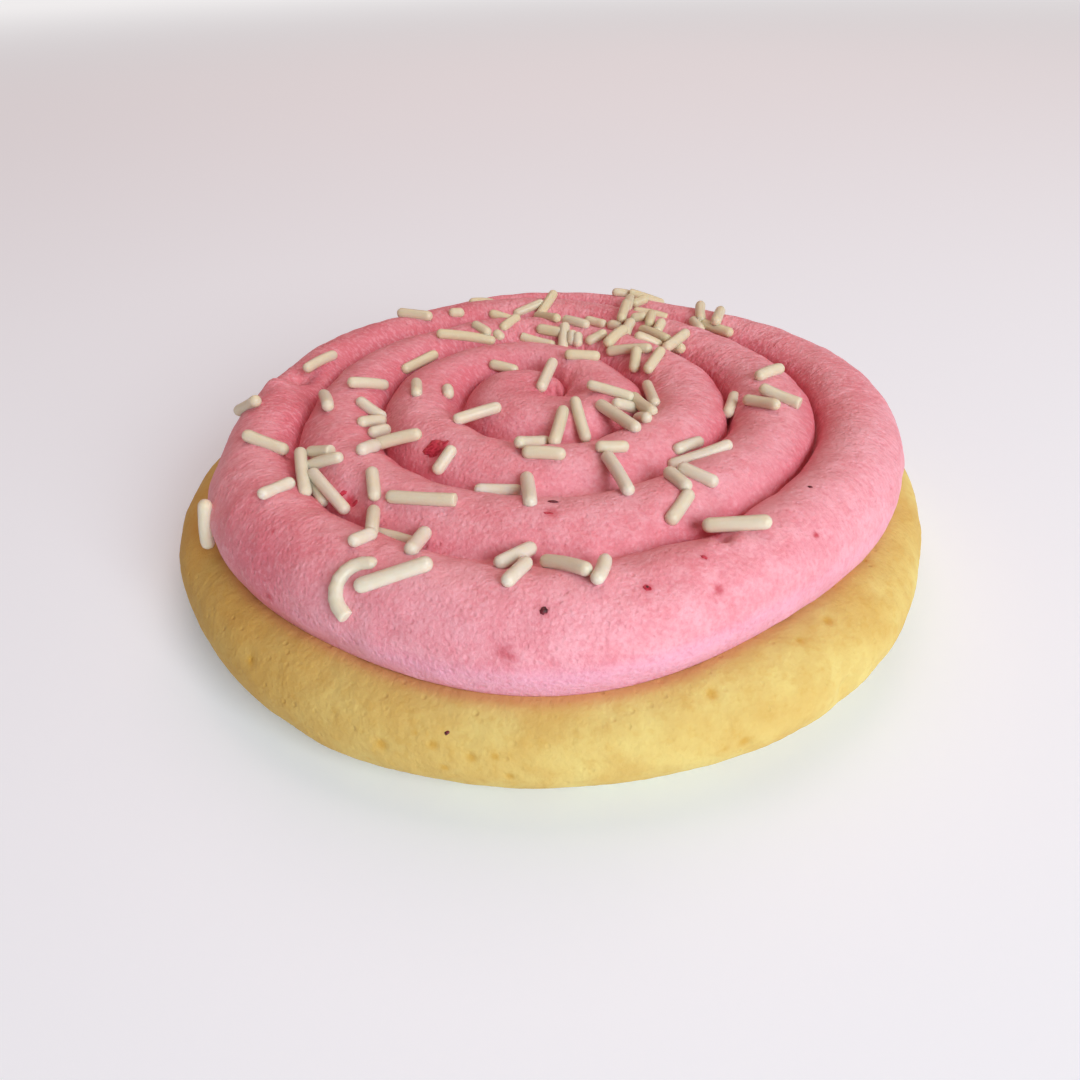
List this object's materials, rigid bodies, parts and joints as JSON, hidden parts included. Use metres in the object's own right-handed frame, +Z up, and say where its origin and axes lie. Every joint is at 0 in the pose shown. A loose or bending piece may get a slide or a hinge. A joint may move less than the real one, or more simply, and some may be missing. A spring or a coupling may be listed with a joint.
{
  "type": "frosted sugar cookie",
  "caption": "Thick round sugar cookie with pink raspberry frosting piped as a flat spiral rope and topped with cream stick sprinkles.",
  "frame": {"origin": "middle of the cookie's flat underside", "axes": "+Z up out of the frosting, -Y towards the side that the picture shows nearest, +X to the picture's right"},
  "size_m": [0.1029, 0.1029, 0.0254],
  "materials": {
    "cookie": "soft pale yellow baked dough, matt, with fine crumb and golden pits",
    "frosting": "pink whipped frosting, satin, with fine wrinkles across the rope",
    "sprinkle": "cream sugar stick, smooth, slightly translucent",
    "raspberry": "crimson raspberry pulp and dark seeds, moist"
  },
  "bodies": {
    "root": {"cookie": "cookie", "frosting": "frosting"}
  },
  "joints": []
}
